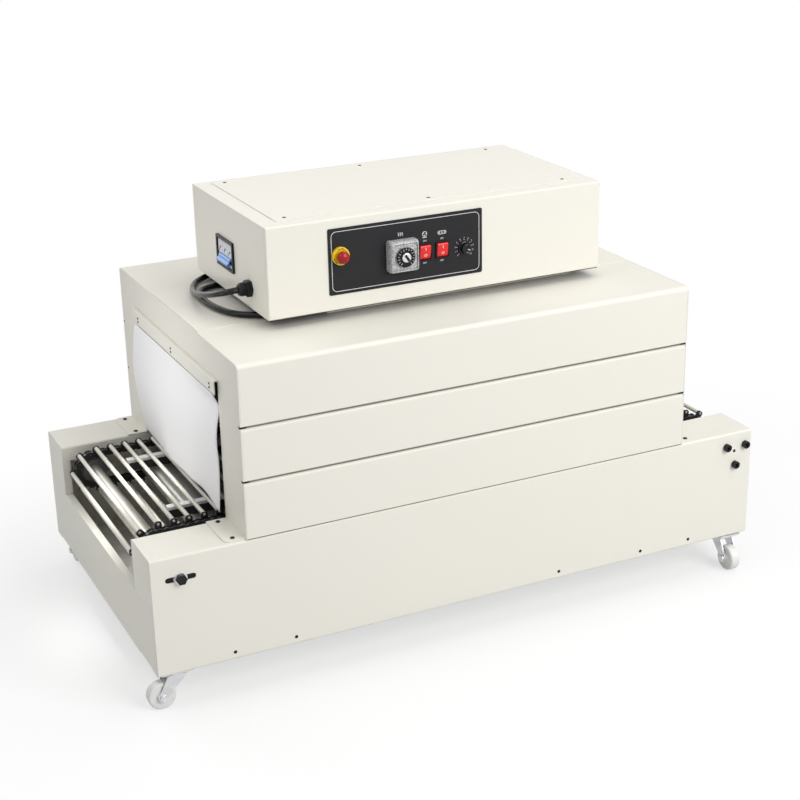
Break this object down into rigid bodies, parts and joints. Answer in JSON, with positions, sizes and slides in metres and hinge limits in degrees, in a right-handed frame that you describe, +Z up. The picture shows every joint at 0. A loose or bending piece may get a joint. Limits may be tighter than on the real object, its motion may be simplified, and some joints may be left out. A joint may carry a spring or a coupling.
{
  "type": "heat shrink tunnel",
  "caption": "Wheeled heat shrink tunnel: sheet steel base with a rod conveyor, insulated hood with hanging end curtains, and a control box on a low stand.",
  "frame": {"origin": "on the floor under the middle of the base", "axes": "+X along the conveyor from the inlet to the outlet, -Y towards the operator and the control panel, +Z up"},
  "size_m": [1.24, 0.7, 0.7835],
  "materials": {
    "cream_paint": "satin powder coat",
    "rod_coat": "smooth sleeve",
    "galvanised": "galvanised",
    "bright_steel": "ground",
    "black_steel": "blackened",
    "curtain_cloth": "coated glass cloth",
    "panel_black": "printed panel",
    "yellow_plastic": "moulded",
    "red_plastic": "moulded",
    "grey_plastic": "moulded",
    "black_plastic": "moulded",
    "white_plastic": "moulded",
    "blue_plastic": "moulded",
    "cable_rubber": "matte"
  },
  "bodies": {
    "machine": {"base_front_panel": "cream_paint", "base_back_panel": "cream_paint", "base_end_left": "cream_paint", "base_end_right": "cream_paint", "base_floor": "galvanised", "bed_pan": "galvanised", "rod_guides": "white_plastic", "chain_front": "black_steel", "chain_back": "black_steel", "conveyor_rods": "rod_coat", "idler_shaft": "bright_steel", "idler_sprockets": "black_steel", "tension_bolts": "black_steel", "drive_shaft": "bright_steel", "drive_sprockets": "black_steel", "drive_brackets": "galvanised", "drive_bolts": "black_steel", "hood_front_cover": "cream_paint", "hood_back_cover": "cream_paint", "hood_roof": "cream_paint", "hood_liner": "galvanised", "hood_end_left": "cream_paint", "hood_end_right": "cream_paint", "curtain_strip_left": "cream_paint", "curtain_strip_right": "cream_paint", "control_box": "cream_paint", "control_box_lid": "cream_paint", "control_box_stand": "cream_paint", "control_panel": "panel_black", "stop_collar": "yellow_plastic", "controller_housing": "grey_plastic", "rocker_bezels": "black_plastic", "breaker_frame": "black_plastic", "breaker_body": "white_plastic", "cable_gland": "black_plastic", "cable_grommet": "cable_rubber", "power_cable": "cable_rubber", "caster_plates": "galvanised"},
    "curtain_left": {"curtain_left": "curtain_cloth"},
    "curtain_right": {"curtain_right": "curtain_cloth"},
    "stop_button": {"stop_button": "red_plastic"},
    "controller_dial": {"controller_dial": "black_plastic"},
    "rocker_left": {"rocker_left": "red_plastic"},
    "rocker_right": {"rocker_right": "red_plastic"},
    "speed_knob": {"speed_knob": "black_plastic"},
    "breaker_toggle": {"breaker_toggle": "blue_plastic"},
    "fork_front_left": {"caster_fork_front_left": "galvanised"},
    "fork_front_right": {"caster_fork_front_right": "galvanised"},
    "fork_back_left": {"caster_fork_back_left": "galvanised"},
    "fork_back_right": {"caster_fork_back_right": "galvanised"},
    "wheel_front_left": {"caster_wheel_front_left": "white_plastic"},
    "wheel_front_right": {"caster_wheel_front_right": "white_plastic"},
    "wheel_back_left": {"caster_wheel_back_left": "white_plastic"},
    "wheel_back_right": {"caster_wheel_back_right": "white_plastic"}
  },
  "joints": [
    {"name": "curtain_left_swing", "type": "hinge", "parent": "machine", "child": "curtain_left", "pos_m": [-0.44125, 0, 0.5177], "axis": [0, -1, 0], "range_deg": [-75, 75]},
    {"name": "curtain_right_swing", "type": "hinge", "parent": "machine", "child": "curtain_right", "pos_m": [0.45125, 0, 0.5177], "axis": [0, -1, 0], "range_deg": [-75, 75]},
    {"name": "stop_button_press", "type": "slide", "parent": "machine", "child": "stop_button", "axis": [0, 1, 0], "range_m": [0, 0.004], "stiffness_N_per_m": 800},
    {"name": "controller_dial_turn", "type": "hinge", "parent": "machine", "child": "controller_dial", "pos_m": [-0.072, -0.2, 0.702], "axis": [0, -1, 0], "range_deg": [-150, 150]},
    {"name": "rocker_left_rock", "type": "hinge", "parent": "machine", "child": "rocker_left", "pos_m": [-0.025, -0.188, 0.7], "axis": [-1, 0, 0], "range_deg": [0, 16]},
    {"name": "rocker_right_rock", "type": "hinge", "parent": "machine", "child": "rocker_right", "pos_m": [0.009, -0.188, 0.7], "axis": [-1, 0, 0], "range_deg": [0, 16]},
    {"name": "speed_knob_turn", "type": "hinge", "parent": "machine", "child": "speed_knob", "pos_m": [0.053, -0.2, 0.697], "axis": [0, -1, 0], "range_deg": [-150, 150]},
    {"name": "breaker_toggle_flip", "type": "hinge", "parent": "machine", "child": "breaker_toggle", "pos_m": [-0.322, 0.012, 0.68], "axis": [0, 1, 0], "range_deg": [0, 76]},
    {"name": "swivel_front_left", "type": "hinge", "parent": "machine", "child": "fork_front_left", "pos_m": [-0.568, -0.298, 0.06], "axis": [0, 0, 1], "continuous": true},
    {"name": "swivel_front_right", "type": "hinge", "parent": "machine", "child": "fork_front_right", "pos_m": [0.568, -0.298, 0.06], "axis": [0, 0, 1], "continuous": true},
    {"name": "swivel_back_left", "type": "hinge", "parent": "machine", "child": "fork_back_left", "pos_m": [-0.568, 0.298, 0.06], "axis": [0, 0, 1], "continuous": true},
    {"name": "swivel_back_right", "type": "hinge", "parent": "machine", "child": "fork_back_right", "pos_m": [0.568, 0.298, 0.06], "axis": [0, 0, 1], "continuous": true},
    {"name": "roll_front_left", "type": "hinge", "parent": "fork_front_left", "child": "wheel_front_left", "pos_m": [-0.595, -0.298, 0.025], "axis": [0, 1, 0], "continuous": true},
    {"name": "roll_front_right", "type": "hinge", "parent": "fork_front_right", "child": "wheel_front_right", "pos_m": [0.568, -0.325, 0.025], "axis": [1, 0, 0], "continuous": true},
    {"name": "roll_back_left", "type": "hinge", "parent": "fork_back_left", "child": "wheel_back_left", "pos_m": [-0.568, 0.325, 0.025], "axis": [1, 0, 0], "continuous": true},
    {"name": "roll_back_right", "type": "hinge", "parent": "fork_back_right", "child": "wheel_back_right", "pos_m": [0.595, 0.298, 0.025], "axis": [0, 1, 0], "continuous": true}
  ]
}
